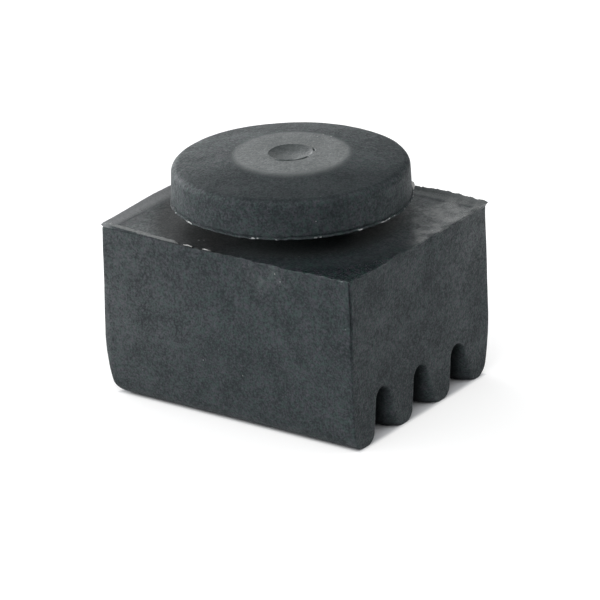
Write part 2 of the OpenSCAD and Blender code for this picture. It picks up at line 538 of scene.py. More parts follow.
def head_profile():
    """Half section from the neck's foot, under and round the head, to the middle of the dimple."""
    chord = math.hypot(HEAD_TAPER, HEAD_SIDE_H)
    rim_r = HEAD_R - HEAD_TAPER
    dome_z = (LAND_Z ** 2 + LAND_R ** 2 - RIM_Z ** 2 - rim_r ** 2) / (2 * (LAND_Z - RIM_Z))
    dome_r = math.hypot(rim_r, RIM_Z - dome_z)
    side = (-HEAD_TAPER / chord, HEAD_SIDE_H / chord)
    start = (HEAD_R - RIM_R * side[1], NECK_TOP + RIM_R * side[0] - dome_z)
    along = -(start[0] * side[0] + start[1] * side[1])
    along += math.sqrt(along ** 2 - start[0] ** 2 - start[1] ** 2 + (dome_r - RIM_R) ** 2)
    rim = (start[0] + along * side[0], dome_z + start[1] + along * side[1])
    side_angle = math.degrees(math.atan2(HEAD_TAPER, HEAD_SIDE_H))
    dome_angle = math.degrees(math.atan2(rim[1] - dome_z, rim[0]))
    rim_start = (rim[0] + RIM_R * side[1], rim[1] - RIM_R * side[0])
    land_angle = math.degrees(math.acos(LAND_R / dome_r))
    foot = (NECK_R + NECK_FILLET_R, BLOCK_H)
    lip_x = HEAD_R + LIP_W - LIP_T / 2
    crease_z = NECK_TOP + LIP_T + CREASE_GAP
    side_start = (side_x(crease_z + CREASE_H), crease_z + CREASE_H)
    return joined(
        arc((foot[0], BLOCK_H + NECK_FILLET_R), NECK_FILLET_R, -90, -180),
        line((NECK_R, BLOCK_H + NECK_FILLET_R), (NECK_R, NECK_TOP - NECK_FILLET_R)),
        arc((foot[0], NECK_TOP - NECK_FILLET_R), NECK_FILLET_R, 180, 90),
        line((foot[0], NECK_TOP), (lip_x, NECK_TOP)),
        arc((lip_x, NECK_TOP + LIP_T / 2), LIP_T / 2, -90, 90, LIP_T / 5),
        line((lip_x, NECK_TOP + LIP_T), (HEAD_R - CREASE_DEEP, crease_z), LIP_STEP),
        line((HEAD_R - CREASE_DEEP, crease_z + CREASE_H / 3), side_start, CREASE_STEP),
        line(side_start, rim_start, SIDE_STEP),
        arc(rim, RIM_R, side_angle, dome_angle, RIM_STEP),
        arc((0, dome_z), dome_r, dome_angle, land_angle, DOME_STEP),
        line((LAND_R, LAND_Z), (DIMPLE_R * OVAL_TO, LAND_Z), LAND_STEP),
        line((DIMPLE_R * 1.25, LAND_Z), (DIMPLE_R * 0.8, LAND_Z), TORN_STEP),
        line((DIMPLE_R * 0.77, LAND_Z), (0, LAND_Z), BOWL_STEP),
    )


def dimple_share(x, y):
    """How far out a place lies, as a share of the way from the dimple's middle to its edge."""
    across = x * ACROSS[0] + y * ACROSS[1]
    near = x * NEAR[0] + y * NEAR[1]
    skew = DIMPLE_SKEW * across * near
    return math.sqrt((across / DIMPLE_R) ** 2 + (near / DIMPLE_NEAR_R) ** 2 + skew)


def dimple_height(x, y):
    """How far the land is sunk or raised at a place measured from the dimple's middle."""
    share = dimple_share(x, y)
    across = x * ACROSS[0] + y * ACROSS[1]
    near = x * NEAR[0] + y * NEAR[1]
    turn = math.degrees(math.atan2(across, near))
    torn = smooth((turn - TORN_START) / TORN_SOFT) * smooth((TORN_END - turn) / TORN_SOFT)
    pit = PIT_SHARE * math.exp(-((turn - PIT_AT) / PIT_WIDE) ** 2)
    ridge = RIDGE_H * torn * math.exp(-((share - RIDGE_AT) / RIDGE_WIDE) ** 2)
    crack = CRACK_DEEP * max(torn, pit) * math.exp(-((share - CRACK_AT) / CRACK_WIDE) ** 2)
    bowl = 0.0
    if share < 1:
        side = across / DIMPLE_R
        along = (1 + near / DIMPLE_NEAR_R / math.sqrt(max(1 - side * side, 0.01))) / 2
        along = min(max(along, 0.0), 1.0)
        if along < DIMPLE_LOW:
            bowl = 1 - (1 - along / DIMPLE_LOW) ** 2
        else:
            bowl = 1 - (1 - NEAR_WALL * torn) * ((along - DIMPLE_LOW) / (1 - DIMPLE_LOW)) ** 2
        bowl *= DIMPLE_DEPTH * max(1 - abs(side) ** DIMPLE_SIDE_POWER, 0.0)
        bowl *= smooth((1 - share) / DIMPLE_EDGE)
    return ridge - crack - bowl


def level_noise(x, y, waves, layer):
    """Noise over the level plane. Each layer is noise of its own."""
    return noise.noise(Vector((x * waves, y * waves, layer)))


def ragged_lip(point):
    """Moves a point of the head's lower edge, whose flash was torn off unevenly and hangs on at
    one side."""
    x, y, z = point
    out = Vector((x - HEAD_AT[0], y - HEAD_AT[1]))
    turn = math.degrees(math.atan2(out.y, out.x))
    left_on = math.exp(-((turn - FLAKE_AT) / FLAKE_REACH) ** 2)
    tear = level_noise(x, y, TEAR_COARSE, 3) + TEAR_FINE_SHARE * level_noise(x, y, TEAR_FINE, 9)
    over = max(out.length - HEAD_R, 0)
    out *= 1 + over * (TEAR_STRONG * tear + FLAKE_WIDE * left_on - TEAR_OFF) / out.length
    wave = LIP_WAVE[1] * level_noise(x, y, LIP_WAVE[0], 5)
    wave += LIP_RIPPLE[1] * level_noise(x, y, LIP_RIPPLE[0], 7)
    curl = FLAKE_CURL * left_on * over / LIP_W
    return (HEAD_AT[0] + out.x, HEAD_AT[1] + out.y, z + wave + curl)


def dimpled(point):
    """Moves a point of the round land so that its rows follow the dimple's oval, and sinks it
    there."""
    x, y = point[0] - HEAD_AT[0], point[1] - HEAD_AT[1]
    radius = math.hypot(x, y)
    pull = 1 - smooth((radius / DIMPLE_R - OVAL_TO) / OVAL_FADE)
    if radius > 0:
        stretch = radius / (DIMPLE_R * dimple_share(x, y))
        x, y = x * (1 + (stretch - 1) * pull), y * (1 + (stretch - 1) * pull)
    middle = (HEAD_AT[0] + DIMPLE_AT[0] * pull, HEAD_AT[1] + DIMPLE_AT[1] * pull)
    return (middle[0] + x, middle[1] + y, point[2] + dimple_height(x, y))


def turned(shell, profile, first_row):
    """Turns a half section about the head's axis, from a row that is already there to a point on
    the axis."""
    row = first_row
    for radius, z in profile[1:-1]:
        ring = circle_row(radius, z)
        if z > LAND_Z - 0.01 and radius < LAND_R:
            ring = [dimpled(point) for point in ring]
        if radius > HEAD_R - CREASE_DEEP - 0.01 and z < NECK_TOP + LIP_T + CREASE_H:
            ring = [ragged_lip(point) for point in ring]
        above = shell.add(ring)
        shell.strip(row, above, closed=True)
        row = above
    tip = shell.add([dimpled((*HEAD_AT, LAND_Z))])[0]
    for i in range(AROUND):
        shell.faces.append((row[i], row[(i + 1) % AROUND], tip))


def unevenness(p):
    """How far the moulding's skin wanders at a place."""
    slow = noise.noise_vector(p * SLOW_WANDER[0]) * SLOW_WANDER[1]
    quick = noise.noise_vector(p * QUICK_WANDER[0] + Vector((7, 3, 1))) * QUICK_WANDER[1]
    return slow + quick


def frayed(p):
    """How far the block's top edges wander, at the toe end and along the front away from the heel."""
    near_top = smooth((p.z - BLOCK_H + FRAY_DEEP) / 0.3)
    toe_edge = smooth((p.x - HALF_L + FRAY_IN) / 0.5)
    front_edge = smooth((-p.y - HALF_W + FRAY_IN) / 0.5) * smooth((p.x + 6) / 3)
    wave = noise.noise_vector(Vector((p.x * EDGE_WAVE[0], p.y * EDGE_WAVE[0], 4))) * EDGE_WAVE[1]
    tear = noise.noise_vector(Vector((p.x * EDGE_TEAR[0], p.y * EDGE_TEAR[0], 6))) * EDGE_TEAR[1]
    return (wave + tear) * near_top * max(toe_edge, front_edge)


def uneven(point):
    """The slight unevenness of a moulding that was pulled from a worn mould."""
    p = Vector(point)
    moved = p + unevenness(p)
    if p.z < BLOCK_H + 0.1:
        swell = BACK_SWELL + BACK_RISE * p.z / BLOCK_H
        moved.y += swell * smooth((p.y - BACK_SWELL_FROM) / SWELL_GROWS)
        moved.x -= HEEL_SWELL * smooth((-p.x - HEEL_SWELL_FROM) / SWELL_GROWS)
    if p.z > NECK_TOP:
        tilt = HEAD_TILT[0] * p.x + HEAD_TILT[1] * p.y
        moved.z += tilt * smooth((p.z - NECK_TOP) / TILT_GROWS)
    elif BLOCK_H - 0.4 < p.z < BLOCK_H + 0.01:
        moved += frayed(p)
    return moved


def cap_body(material):
    """The whole cap but for the fins on the block's top edges, as one closed skin."""
    shell = Shell()
    heel_ring, toe_ring, lid_ring = block_rows(shell)
    block_ends(shell, heel_ring, toe_ring)
    profile = head_profile()
    foot = shell.add(circle_row(profile[0][0], BLOCK_H))
    shell.patch(
        [lid_ring, foot],
        lambda p: (p[0], p[1]),
        lambda s: (s[0], s[1], BLOCK_H),
        square_grid(-HALF_L, HALF_L, -HALF_W, HALF_W),
    )
    turned(shell, profile, foot)
    shell.points = [uneven(p) for p in shell.points]
    return shell.build("cap_body", material)


# The flash on the block's top edges.

HEEL_FIN_H = 0.33
HEEL_FIN_MORE = 0.22
HEEL_FIN_GROWS = 9
BACK_FIN_H = 0.5
BACK_FIN_WAVE = (0.9, 0.06)

# The front fin: its least height while whole, where it tears off and over what length, and the
# scraps that are left beyond, with their height, and each one's place along X and reach.
FRONT_FIN_H = 0.28
FRONT_FIN_STOP = -5.4
FRONT_FIN_FADE = 0.8
SCRAP_H = 0.11
FRONT_SCRAPS = ((-3.8, 0.6), (-1.95, 0.4))


def heel_fin_h(y):
    """Height of the fin on the heel edge, which grows towards the back."""
    return HEEL_FIN_H + HEEL_FIN_MORE * smooth((y + HALF_W) / HEEL_FIN_GROWS)


def back_fin_h(x):
    """Height of the fin on the back edge, which is slightly wavy."""
    return BACK_FIN_H + BACK_FIN_WAVE[1] * math.sin(x * BACK_FIN_WAVE[0])


def front_fin_h(x):
    """Height of the fin on the front edge: whole near the heel, then torn down to a few scraps."""
    rise = min(max(-0.3 - 0.05 * x, 0), 0.02 + 0.2 * max(x + 13.1, 0))
    whole = (FRONT_FIN_H + rise) * (1 - smooth((x - FRONT_FIN_STOP) / FRONT_FIN_FADE))
    scraps = [max(1 - abs(x - middle) / reach, 0) ** 0.5 for middle, reach in FRONT_SCRAPS]
    return max(whole, SCRAP_H * sum(scraps))


def fin(shell, start, end, outward, height_at, ramp, tear):
    """One fin along an edge. outward points off the block, ramp is how far its inner foot
    spreads, and tear is how uneven its edge is. Each end runs out to a point, and a fin without
    height stays inside the block."""
    length = math.dist(start, end)
    count = math.ceil(length / FIN_STEP)
    along = Vector((end[0] - start[0], end[1] - start[1])) / length
    out = Vector(outward)
    rows = []
    for i in range(count + 1):
        place = Vector(start) + along * length * i / count
        key = place.x + place.y
        rough = noise.noise(Vector((key * 1.7, 3, 2))) + 0.8 * noise.noise(Vector((key * 4.6, 8, 2)))
        height = max(height_at(place.x if abs(along.x) > 0.5 else place.y) * (1 + tear * rough), 0)
        lean = FIN_LEAN * height + tear * 0.15 * noise.noise(Vector((key * 2.3, 1, 6)))
        gone = FIN_SINK * (1 - smooth(height / FIN_LEAST))
        section = (
            (-FIN_FOOT - ramp - 0.25, -FIN_SINK),
            (-0.14, -FIN_SINK),
            (-0.03, -0.02),
            (lean * 0.5, height * 0.55),
            (lean, height),
            (lean - FIN_TIP * 0.5, height + 0.01),
            (lean - FIN_TIP, height),
            (lean * 0.5 - FIN_FOOT * 0.7, height * 0.5),
            (-FIN_FOOT - ramp * 0.25, height * 0.22),
            (-FIN_FOOT - ramp * 0.6, height * 0.06),
            (-FIN_FOOT - ramp, -0.01),
            (-FIN_FOOT - ramp - 0.2, -0.06),
        )
        tip = (lean - FIN_TIP * 0.5, height * 0.8)
        size = 0.04 + 0.96 * smooth(min(i, count - i) * length / count / FIN_POINT)
        points = []
        for across, up in section:
            across = tip[0] + (across - tip[0]) * size
            up = tip[1] + (up - tip[1]) * size - gone
            points.append((*(place + out * across), BLOCK_H + up))
        rows.append(shell.add(points))
    for one, two in zip(rows, rows[1:]):
        shell.strip(one, two, closed=True)
    shell.faces.append(tuple(rows[0]))
    shell.faces.append(tuple(rows[-1]))


def flash(material):
    """The three fins, which follow the wandering of the block's skin."""
    shell = Shell()
    heel_x = -HALF_L + SIDE_LEAN + FIN_INSET - HEEL_SWELL
    toe_x = HALF_L - SIDE_LEAN - FIN_INSET
    front_y = -HALF_W + SIDE_LEAN + FIN_INSET
    back_y = HALF_W - SIDE_LEAN - FIN_INSET + BACK_SWELL + BACK_RISE
    fin(shell, (heel_x, front_y - 0.16), (heel_x, back_y), (-1, 0), heel_fin_h, HEEL_RAMP, HEEL_TEAR)
    back = ((heel_x - 0.12, back_y), (toe_x + 0.3, back_y))
    fin(shell, *back, (0, 1), back_fin_h, BACK_RAMP, BACK_TEAR)
    front = ((heel_x - 0.18, front_y), (toe_x * 0.4, front_y))
    fin(shell, *front, (0, -1), front_fin_h, FRONT_RAMP, FRONT_TEAR)
    shell.points = [Vector(p) + unevenness(Vector(p)) for p in shell.points]
    return shell.build("moulding_flash", material)


# Materials.

class Graph:
    """Short forms for building a material's nodes."""

    def __init__(self, material):
        material.use_nodes = True
        self.nodes = material.node_tree.nodes
        self.links = material.node_tree.links

    def add(self, kind, **settings):
        """A new node with its settings."""
        node = self.nodes.new(kind)
        for name, value in settings.items():
            setattr(node, name, value)
        return node

    def link(self, source, target):
        self.links.new(source, target)

    def math(self, operation, *values):
        """A Math node that takes numbers or outputs of other nodes."""
        node = self.add("ShaderNodeMath", operation=operation)
        for slot, value in enumerate(values):
            if isinstance(value, (int, float)):
                node.inputs[slot].default_value = value
            else:
                self.link(value, node.inputs[slot])
        return node.outputs[0]

    def plus(self, first, *others):
        for other in others:
            first = self.math("ADD", first, other)
        return first

    def times(self, first, *others):
        for other in others:
            first = self.math("MULTIPLY", first, other)
        return first

    def less(self, one, other):
        return self.math("SUBTRACT", one, other)

    def most(self, one, other):
        return self.math("MAXIMUM", one, other)

    def root(self, value):
        return self.math("SQRT", value)

    def noise(self, vector, scale, detail, rough):
        node = self.add("ShaderNodeTexNoise")
        self.link(vector, node.inputs["Vector"])
        node.inputs["Scale"].default_value = scale
        node.inputs["Detail"].default_value = detail
        node.inputs["Roughness"].default_value = rough
        return node.outputs["Fac"]

    def ramp(self, value, low, high, to_low=0.0, to_high=1.0):
        """A soft step from one result to another as a value goes from low to high."""
        node = self.add("ShaderNodeMapRange", interpolation_type="SMOOTHSTEP")
        self.link(value, node.inputs["Value"])
        node.inputs["From Min"].default_value = low
        node.inputs["From Max"].default_value = high
        node.inputs["To Min"].default_value = to_low
        node.inputs["To Max"].default_value = to_high
        return node.outputs["Result"]

    def fall(self, value, low, high):
        """A soft step down, from 1 to 0."""
        return self.ramp(value, low, high, 1.0, 0.0)

    def mix(self, factor, one, two):
        """The colour two over the colour one, by a factor."""
        node = self.add("ShaderNodeMix", data_type="RGBA")
        for slot, value in ((0, factor), (6, one), (7, two)):
            if hasattr(value, "is_linked"):
                self.link(value, node.inputs[slot])
            elif isinstance(value, (int, float)):
                node.inputs[slot].default_value = value
            else:
                node.inputs[slot].default_value = (*value, 1)
        return node.outputs[2]


# Colours: the rubber's own, the head's land, what tearing, wear and dust have left, and painted shade,
# light and glints.
RUBBER_DARK = (0.002, 0.0045, 0.006)
RUBBER_GREEN = (0.022, 0.041, 0.037)
RUBBER_GREY = (0.039, 0.036, 0.046)
# Painted shade, for the grooves, the dimple's crack and the top beside the head.
PAINTED_SHADE_DARK = (0.0015, 0.002, 0.0025)
LAND_DARK = (0.044, 0.050, 0.050)
LAND_LIGHT = (0.082, 0.091, 0.092)
SCUFFED = (0.105, 0.110, 0.110)
TORN = (0.15, 0.155, 0.152)
HEEL_TORN = (0.25, 0.256, 0.262)
# A painted glint, on the front edge's slivers and the lip's flake.
SLIVER_GLINT = (0.48, 0.48, 0.47)
DUST = (0.42, 0.43, 0.43)
SPECULAR = 0.42
SPECULAR_TINT = (0.90, 1.0, 1.03)
RUBBER_IOR = 1.5

# In what follows a pair is where a mask starts and stops to fade, in millimetres or in the
# noise's own value. Two more numbers are what it gives at those places.

# Noises: scale per millimetre, detail and roughness. The first three make up the tone, each
# with its part.
BLOTCH = (0.4, 3, 0.6)
MOTTLE = (2.2, 3, 0.6)
GRAIN = (5.5, 2, 0.7)
HUE = (3.3, 2, 0.6)
PATCHES = (0.8, 5, 0.7)
TORN_BITS = (1.1, 2.0, 0.5)
BLOTCH_PART = 0.25
MOTTLE_PART = 0.25
GRAIN_PART = 0.5
TONE_FADE = (0.37, 0.65)
HUE_FADE = (0.38, 0.62)
PATCH_FADE = (0.36, 0.62)
TORN_BITS_FADE = (0.56, 0.62)

# The land: how oval it is, how far its edge follows the tone and drifts across, how far inside
# LAND_R the edge begins, how wide it is and how much wider for each millimetre nearer.
LAND_OVAL = 0.89
LAND_WANDER = 2.6
LAND_DRIFT = -0.02
LAND_EDGE_IN = 0.45
LAND_EDGE_WIDE = 0.6
LAND_EDGE_NEAR = 0.1
DOME_FADE = (LAND_Z - 0.9, LAND_Z - 0.75)
# The land grows paler towards its near side.
LAND_NEAR_PALE_FADE = (0.8, 3.0)
LAND_NEAR_PALE = 0.04

# The near part of the dome, above the rim, has painted shade and is duller.
SHADED_DOME_NEAR = (0.5, 6.0)
SHADED_DOME_UP = (RIM_Z - 0.1, RIM_Z + 0.15)
SHADED_DOME_DARK = 0.6

# The dimple: painted shade on its far wall, at one side and in the crack, and a painted highlight on
# the ridge before it.
# A share is how far out a place lies on the way to the dimple's edge.
FAR_SHARE = (0.95, 1.0)
FAR_NEAR = (-1.4, 0.5)
FAR_DARK = 0.35
SIDE_SHARE = (0.97, 1.0, 0.95, 0.0)
SIDE_ACROSS = (0.6, 1.7)
CRACK_SHARE = (1.0, 1.02)
CRACK_STOP = (1.15, 1.2)
CRACK_SINK = (LAND_Z - 0.1, LAND_Z - 0.05)
RIDGE_SHARE = (0.92, 0.97)
RIDGE_STOP = (1.0, 1.015)
RIDGE_ACROSS = (0.0, 0.5)
RIDGE_ACROSS_STOP = (1.3, 1.45)
RIDGE_NEAR = (1.2, 1.4)
RIDGE_HIGHLIGHT = 0.5

# The block's top: scuffs at one corner but for a plain spot, a paler back edge, painted shade
# in a stretch beside the head and painted light under it, and the torn heel edge.
TOP_FADE = (BLOCK_H - 0.16, BLOCK_H - 0.04)
TOP_STOP = (BLOCK_H + 0.8, BLOCK_H + 0.9)
SCUFF_ACROSS = (9.9, 11.2)
PLAIN_Y = (7.2, 8.2)
PLAIN_X = (8.8, 9.8)
BACK_EDGE = (9.7, 10.2)
BACK_SCUFF = 0.6
HEAD_SHADE_ACROSS = (-7.0, -4.0)
HEAD_SHADE_OUT = (11.0, 13.0)
UNDER_HEAD_LIGHT_ACROSS = (-6.0, -3.0)
UNDER_HEAD_LIGHT_OUT = (8.4, 10.6)
UNDER_HEAD_LIGHT_PART = 0.5
HEEL_EDGE = (-12.8, -11.6)
HEEL_UP = (BLOCK_H - 0.04, BLOCK_H + 0.02)
HEEL_TONE = (0.3, 0.6, 0.7, 1.0)

# The front flash: it is torn above a height that falls along X, with a grainy border.
TORN_LOW = BLOCK_H - 0.3
TORN_FALL = -0.05
TORN_GRAIN = 0.2
TORN_UP = (-0.02, 0.04)
FRONT_EDGE = (-10.35, -10.25)
FRONT_STOP = (-1.6, -1.3)
TORN_STOP = (-4.9, -4.6)
SLIVER_X = (-4.5, -4.3)
SLIVER_UP = (BLOCK_H + 0.02, BLOCK_H + 0.06)

# The head's torn lower edge, with the flake that hangs on it.
TORN_LIP_OUT = (HEAD_R + 0.03, HEAD_R + 0.1)
TORN_LIP_UP = (NECK_TOP - 0.4, NECK_TOP - 0.3)
TORN_LIP_STOP = (NECK_TOP + 0.25, NECK_TOP + 0.35)
FLAKE_ACROSS = (9.6, 10.0)
FLAKE_NEAR = (-0.8, 0.2)

# Painted shade inside the grooves.
GROOVE_UP = (GROOVE_H + 0.2, GROOVE_H + 0.3)
GROOVE_TOE = (HALF_L - 1.6, HALF_L - 0.1)
GROOVE_HEEL = (-HALF_L + 0.3, -HALF_L + 0.5)
GROOVE_OUT = (GROOVE_PITCH + 1.8, GROOVE_PITCH + 2.2)

# Scattered dust specks: cells per millimetre, a speck's reach as a share of its cell, and the
# power that leaves most of them faint. A speck of the list below is soft between two shares
# of its radius.
SPECK_CELLS = 1.2
SPECK_FADE = (0.04, 0.10)
SPECK_POWER = 9.0
SPECK_SOFT = (0.6, 1.3)
SPECK_LIGHT = 0.5

# Bits of dust and torn rubber that lie on the cap: place and radius.
SPECKS = (
    ((-3.82, -8.75, 15.6), 0.09),
    ((-3.43, -8.52, 15.6), 0.07),
    ((10.1, 10.3, 15.85), 0.10),
    ((-0.45, 4.60, 21.5), 0.08),
    ((-0.35, 5.35, 21.5), 0.10),
    ((-0.45, 6.00, 21.5), 0.07),
    ((0.55, 5.25, 21.5), 0.11),
    ((2.60, -10.5, 15.2), 0.07),
    ((5.30, -10.5, 14.9), 0.09),
    ((5.85, -10.5, 14.3), 0.08),
    ((-9.0, -10.5, 13.3), 0.07),
)

# The pale haze, partly dust and partly painted light: towards the heel, as a painted sheen on the
# heel's rounded edge low down, in the toe end's upper corner, and round a spot under the front edge.
HAZE_X = (-13.0, 1.0)
HAZE_LOW = (1.0, 8.0, 0.4, 1.0)
HAZE_HIGH = (15.0, 18.0, 1.0, 0.5)
HEEL_SHEEN = (-12.95, -12.2)
HEEL_SHEEN_UP = (9.0, 14.0)
HAZE_CORNER_Y = (2.0, 10.0, 0.0, 1.6)
HAZE_CORNER_UP = (7.0, 14.0)
HAZE_CORNER_X = (12.6, 12.9)
HAZE_SPOT = (4.0, -10.5, 15.0)
HAZE_SPOT_REACH = (0.5, 4.0)
HAZE_THICK = (0.35, 0.65, 0.02, 0.07)

# Roughness by tone, what the land's gloss, the shaded near part of the dome and the grooves change in
# it, and the polish of the block's top, which grows away from the head and is worn in patches.
ROUGH = (0.35, 0.65, 0.74, 0.52)
LAND_GLOSS = 0.25
SHADED_DOME_ROUGH = 0.2
GROOVE_ROUGH = 0.2
POLISH = (10.8, 13.8, 0.08, 0.38)
POLISH_WORN = (-11.5, -9.0, 0.65, 0.12)

# Bumps of the mottle and of the grain: depth in millimetres, and strength on the rubber and
# on the block's smooth top.
MOTTLE_DEEP = 0.05
MOTTLE_STRENGTH = (0.8, 0.3)
GRAIN_DEEP = 0.038
GRAIN_STRENGTH = (1.0, 0.25)


class Skin:
    """What the rubber's masks read of a place on it: where it is in millimetres, how far across
    and near and away it lies from the head's axis, and the tone of the rubber there."""

    def __init__(self, g):
        scale = g.add("ShaderNodeVectorMath", operation="SCALE")
        g.link(g.add("ShaderNodeTexCoord").outputs["Object"], scale.inputs[0])
        scale.inputs["Scale"].default_value = 1 / MM
        self.place = scale.outputs[0]
        axes = g.add("ShaderNodeSeparateXYZ")
        g.link(self.place, axes.inputs[0])
        self.x, self.y, self.z = axes.outputs
        from_x = g.less(self.x, HEAD_AT[0])
        from_y = g.less(self.y, HEAD_AT[1])
        self.across = g.plus(g.times(from_x, ACROSS[0]), g.times(from_y, ACROSS[1]))
        self.near = g.plus(g.times(from_x, NEAR[0]), g.times(from_y, NEAR[1]))
        self.away = g.root(g.plus(g.times(self.across, self.across), g.times(self.near, self.near)))
        self.mottle = g.noise(self.place, *MOTTLE)
        self.grain = g.noise(self.place, *GRAIN)
        blotch = g.noise(self.place, *BLOTCH)
        self.tone = g.plus(
            g.times(blotch, BLOTCH_PART),
            g.times(self.mottle, MOTTLE_PART),
            g.times(self.grain, GRAIN_PART),
        )
        self.patches = g.ramp(g.noise(self.place, *PATCHES), *PATCH_FADE)
        self.on_dome = g.ramp(self.z, *DOME_FADE)
        self.top = g.times(g.ramp(self.z, *TOP_FADE), g.fall(self.z, *TOP_STOP))

    def distance(self, g, spot):
        """How far a place is from a spot."""
        away = g.add("ShaderNodeVectorMath", operation="DISTANCE")
        g.link(self.place, away.inputs[0])
        away.inputs[1].default_value = spot
        return away.outputs["Value"]


def land_mask(g, skin):
    """The flat land, with a soft, grainy edge that is widest at the near side."""
    oval = g.plus(g.times(skin.across, skin.across), g.times(skin.near, skin.near, LAND_OVAL))
    wander = g.plus(g.times(g.less(skin.tone, 0.5), LAND_WANDER), g.times(skin.across, LAND_DRIFT))
    beyond = g.less(g.plus(g.root(oval), wander), LAND_R - LAND_EDGE_IN)
    wide = g.plus(g.times(g.most(skin.near, 0.0), LAND_EDGE_NEAR), LAND_EDGE_WIDE)
    return g.times(g.fall(g.math("DIVIDE", beyond, wide), 0.0, 1.0), skin.on_dome)


def dimple_colour(g, skin, colour):
    """Painted shade in the dimple and in the crack at its torn edge, and a painted highlight on the
    ridge before it.
    """
    across = g.less(skin.across, DIMPLE_AT[0] * ACROSS[0] + DIMPLE_AT[1] * ACROSS[1])
    near = g.less(skin.near, DIMPLE_AT[0] * NEAR[0] + DIMPLE_AT[1] * NEAR[1])
    share = g.root(g.plus(
        g.times(across, across, DIMPLE_R ** -2),
        g.times(near, near, DIMPLE_NEAR_R ** -2),
        g.times(across, near, DIMPLE_SKEW),
    ))
    far = g.times(g.fall(share, *FAR_SHARE), g.fall(near, *FAR_NEAR), skin.on_dome, FAR_DARK)
    side = g.times(g.ramp(share, *SIDE_SHARE), g.ramp(across, *SIDE_ACROSS), skin.on_dome)
    colour = g.mix(g.most(far, side), colour, RUBBER_DARK)
    # Painted shade in the crack.
    crack = g.times(g.ramp(share, *CRACK_SHARE), g.fall(share, *CRACK_STOP))
    crack = g.times(crack, g.fall(skin.z, *CRACK_SINK), skin.on_dome)
    colour = g.mix(crack, colour, PAINTED_SHADE_DARK)
    # A painted highlight on the ridge.
    ridge = g.times(g.ramp(share, *RIDGE_SHARE), g.fall(share, *RIDGE_STOP), skin.on_dome)
    ridge = g.times(ridge, g.ramp(across, *RIDGE_ACROSS), g.fall(across, *RIDGE_ACROSS_STOP))
    ridge = g.times(ridge, g.ramp(near, *RIDGE_NEAR), RIDGE_HIGHLIGHT)
    return g.mix(ridge, colour, DUST)


def top_colour(g, skin, colour):
    """The block's smooth top: scuffed in one corner, with painted shade beside the head and painted
    light under it, and torn at the heel."""
    plain = g.times(g.ramp(skin.y, *PLAIN_Y), g.fall(skin.x, *PLAIN_X))
    scuffs = g.times(g.ramp(skin.across, *SCUFF_ACROSS), skin.patches, skin.top, g.less(1.0, plain))
    colour = g.mix(scuffs, colour, SCUFFED)
    colour = g.mix(g.times(g.ramp(skin.y, *BACK_EDGE), skin.top, BACK_SCUFF), colour, SCUFFED)
    # Painted shade on the top beside the head.
    head_shade = g.times(g.fall(skin.across, *HEAD_SHADE_ACROSS), g.fall(skin.away, *HEAD_SHADE_OUT), skin.top)
    colour = g.mix(head_shade, colour, PAINTED_SHADE_DARK)
    # Painted light on the top under the head, where its shadow falls.
    under_head_light = g.times(g.ramp(skin.across, *UNDER_HEAD_LIGHT_ACROSS), g.fall(skin.away, *UNDER_HEAD_LIGHT_OUT), skin.top, UNDER_HEAD_LIGHT_PART)
    colour = g.mix(under_head_light, colour, LAND_LIGHT)
    heel = g.times(g.fall(skin.x, *HEEL_EDGE), g.ramp(skin.z, *HEEL_UP), skin.top)
    return g.mix(g.times(heel, g.ramp(skin.tone, *HEEL_TONE)), colour, HEEL_TORN)


def torn_colour(g, skin, colour):
    """The torn flash: pale along the front edge, with a painted glint on two slivers and on the
    flake of the head's lip, and pale bits on the lip."""
    torn_z = g.most(g.plus(g.times(skin.x, TORN_FALL), TORN_LOW), BLOCK_H)
    over = g.plus(g.less(skin.z, torn_z), g.times(g.less(skin.grain, 0.5), TORN_GRAIN))
    front = g.times(g.ramp(over, *TORN_UP), g.fall(skin.y, *FRONT_EDGE), skin.top)
    front = g.times(front, g.fall(skin.x, *FRONT_STOP))
    colour = g.mix(g.times(front, g.fall(skin.x, *TORN_STOP)), colour, TORN)
    # Painted glints on two slivers.
    sliver_glints = g.times(front, g.ramp(skin.x, *SLIVER_X), g.ramp(skin.z, *SLIVER_UP))
    colour = g.mix(sliver_glints, colour, SLIVER_GLINT)
    lip = g.times(g.ramp(skin.z, *TORN_LIP_UP), g.fall(skin.z, *TORN_LIP_STOP))
    lip = g.times(lip, g.ramp(skin.away, *TORN_LIP_OUT))
    # A painted glint on the lip's flake.
    flake = g.times(lip, g.ramp(skin.across, *FLAKE_ACROSS), g.fall(skin.near, *FLAKE_NEAR))
    colour = g.mix(flake, colour, SLIVER_GLINT)
    bits = g.times(lip, g.ramp(g.noise(skin.place, *TORN_BITS), *TORN_BITS_FADE))
    return g.mix(bits, colour, DUST)


def groove_shade_mask(g, skin):
    """The inside of the grooves, where shade is painted dark."""
    out = g.math("ABSOLUTE", g.less(skin.y, GROOVE_SHIFT))
    mask = g.times(g.fall(skin.z, *GROOVE_UP), g.fall(skin.x, *GROOVE_TOE), g.fall(out, *GROOVE_OUT))
    return g.times(mask, g.ramp(skin.x, *GROOVE_HEEL))


def speck_mask(g, skin):
    """Scattered dust specks, most of them faint, and the bits of the list."""
    cells = g.add("ShaderNodeTexVoronoi", feature="F1")
    g.link(skin.place, cells.inputs["Vector"])
    cells.inputs["Scale"].default_value = SPECK_CELLS
    split = g.add("ShaderNodeSeparateColor")
    g.link(cells.outputs["Color"], split.inputs[0])
    bright = g.math("POWER", split.outputs[0], SPECK_POWER)
    mask = g.times(g.fall(cells.outputs["Distance"], *SPECK_FADE), bright)
    for spot, radius in SPECKS:
        mask = g.most(mask, g.fall(skin.distance(g, spot), *(radius * soft for soft in SPECK_SOFT)))
    return mask


